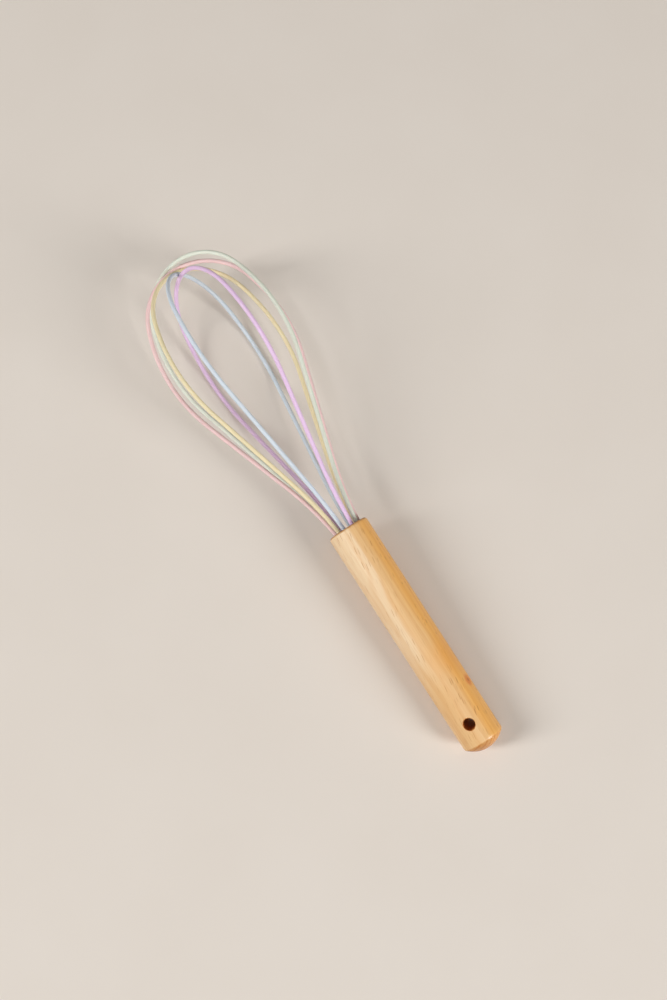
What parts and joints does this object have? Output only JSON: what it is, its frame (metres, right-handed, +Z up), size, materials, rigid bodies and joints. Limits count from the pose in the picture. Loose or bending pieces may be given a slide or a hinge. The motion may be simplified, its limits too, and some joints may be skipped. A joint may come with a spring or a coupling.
{
  "type": "balloon whisk",
  "caption": "Balloon whisk lying at rest: silicone-sleeved steel wire loops nested at the tip, fanned from a turned wooden handle with a domed butt and a hanging hole",
  "frame": {"origin": "Under the middle of the whole length and width, on the plane of the table that the whisk rests on.", "axes": "+X along the table from the handle's butt toward the tip of the loops, +Z straight up from the table, +Y across, to the left when looking along +X."},
  "size_m": [0.2684, 0.0655, 0.0587],
  "materials": {
    "wood": "sanded and lightly oiled",
    "resin": "cast, matt",
    "steel": "drawn wire, bright",
    "green_silicone": "satin silicone",
    "pink_silicone": "satin silicone",
    "yellow_silicone": "satin silicone",
    "blue_silicone": "satin silicone",
    "lilac_silicone": "satin silicone"
  },
  "bodies": {
    "root": {"handle": "wood", "potting_resin": "resin", "green_wire": "steel", "green_silicone": "green_silicone", "pink_wire": "steel", "pink_silicone": "pink_silicone", "yellow_wire": "steel", "yellow_silicone": "yellow_silicone", "blue_wire": "steel", "blue_silicone": "blue_silicone", "lilac_wire": "steel", "lilac_silicone": "lilac_silicone"}
  },
  "joints": []
}
